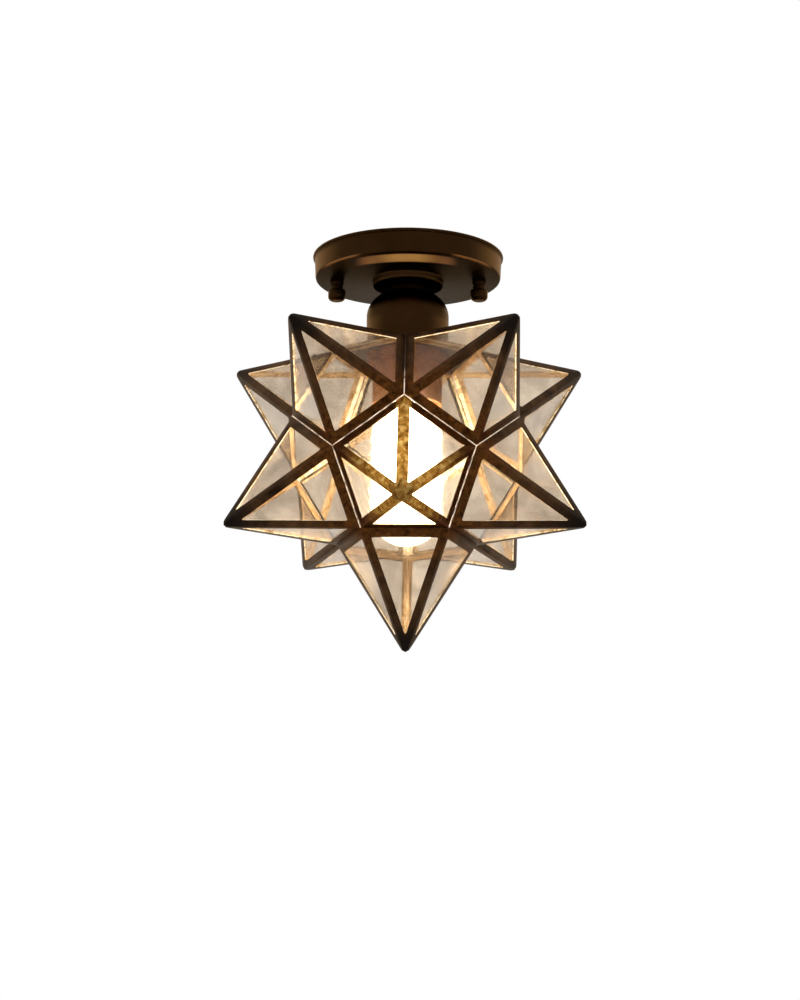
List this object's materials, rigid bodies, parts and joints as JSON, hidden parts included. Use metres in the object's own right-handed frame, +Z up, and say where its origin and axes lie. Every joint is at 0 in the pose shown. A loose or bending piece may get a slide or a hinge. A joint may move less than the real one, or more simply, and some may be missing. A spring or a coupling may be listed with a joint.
{
  "type": "star ceiling light",
  "caption": "Semi-flush star lantern: five-sided glass points in dark bronze frames round a bulb, hung on a domed cup from a round canopy, with a hinged point for the bulb.",
  "frame": {"origin": "middle of the ceiling plane, between the two strap slots, on the canopy's axis", "axes": "+Z up into the ceiling, -Y towards the viewer of the picture, +X to the viewer's right along the strap"},
  "size_m": [0.2214, 0.2326, 0.2541],
  "materials": {
    "canopy_bronze": "satin oil-rubbed bronze",
    "star_bronze": "mottled dark bronze patina",
    "star_glass": "warm tinted clear sheet glass",
    "solder": "grey solder",
    "zinc_steel": "bright zinc plating",
    "green_screw": "green earth screw",
    "holder_phenolic": "brown moulded phenolic",
    "socket_brass": "pressed brass",
    "bulb_envelope": "opal glass",
    "bulb_nickel": "nickel",
    "bulb_black_glass": "black vitrified insulator",
    "bulb_stem_glass": "clear glass stem",
    "filament_phosphor": "yellow phosphor coat",
    "magnet_nickel": "nickel plated magnet"
  },
  "bodies": {
    "fixture": {"canopy": "canopy_bronze", "ceiling_strap": "zinc_steel", "canopy_studs": "zinc_steel", "stud_nuts": "zinc_steel", "ground_screw": "green_screw", "neck_collar": "canopy_bronze", "cup": "canopy_bronze", "nipple": "zinc_steel", "nipple_washer": "zinc_steel", "nipple_nut": "zinc_steel", "cup_nut": "zinc_steel", "holder_cap": "holder_phenolic", "holder_body": "holder_phenolic", "holder_shell": "socket_brass", "holder_contact": "socket_brass", "terminal_screws": "socket_brass", "shade_ring": "holder_phenolic", "top_plate": "star_bronze", "solder_tacks": "solder", "hinge_leaf_frame": "star_bronze", "hinge_pin": "star_bronze", "door_magnet": "magnet_nickel", "frame_bottom": "star_bronze", "frame_lower_front": "star_bronze", "frame_lower_right": "star_bronze", "frame_lower_back_right": "star_bronze", "frame_lower_back_left": "star_bronze", "frame_lower_left": "star_bronze", "frame_upper_front_right": "star_bronze", "frame_upper_back": "star_bronze", "frame_upper_left": "star_bronze", "frame_upper_front_left": "star_bronze", "glass_bottom": "star_glass", "glass_lower_front": "star_glass", "glass_lower_right": "star_glass", "glass_lower_back_right": "star_glass", "glass_lower_back_left": "star_glass", "glass_lower_left": "star_glass", "glass_upper_front_right": "star_glass", "glass_upper_back": "star_glass", "glass_upper_left": "star_glass", "glass_upper_front_left": "star_glass"},
    "door": {"frame_door": "star_bronze", "glass_door": "star_glass", "hinge_leaf_door": "star_bronze", "door_knob": "star_bronze"},
    "bulb": {"bulb_glass": "bulb_envelope", "bulb_cap": "bulb_nickel", "bulb_insulator": "bulb_black_glass", "bulb_contact": "bulb_nickel", "bulb_stem": "bulb_stem_glass", "bulb_filaments": "filament_phosphor"},
    "nut_left": {"cap_nut_left": "canopy_bronze"},
    "nut_right": {"cap_nut_right": "canopy_bronze"}
  },
  "joints": [
    {"name": "door_hinge", "type": "hinge", "parent": "fixture", "child": "door", "pos_m": [0.03614, 0.04975, -0.0864], "axis": [-0.309, -0.4253, 0.8507], "range_deg": [0, 100]},
    {"name": "bulb_turn", "type": "hinge", "parent": "fixture", "child": "bulb", "pos_m": [0, 0, -0.09], "axis": [0, 0, 1], "continuous": true},
    {"name": "cap_nut_left_turn", "type": "hinge", "parent": "fixture", "child": "nut_left", "pos_m": [-0.045, 0, -0.02], "axis": [0, 0, 1], "continuous": true},
    {"name": "cap_nut_right_turn", "type": "hinge", "parent": "fixture", "child": "nut_right", "pos_m": [0.045, 0, -0.02], "axis": [0, 0, 1], "continuous": true}
  ]
}
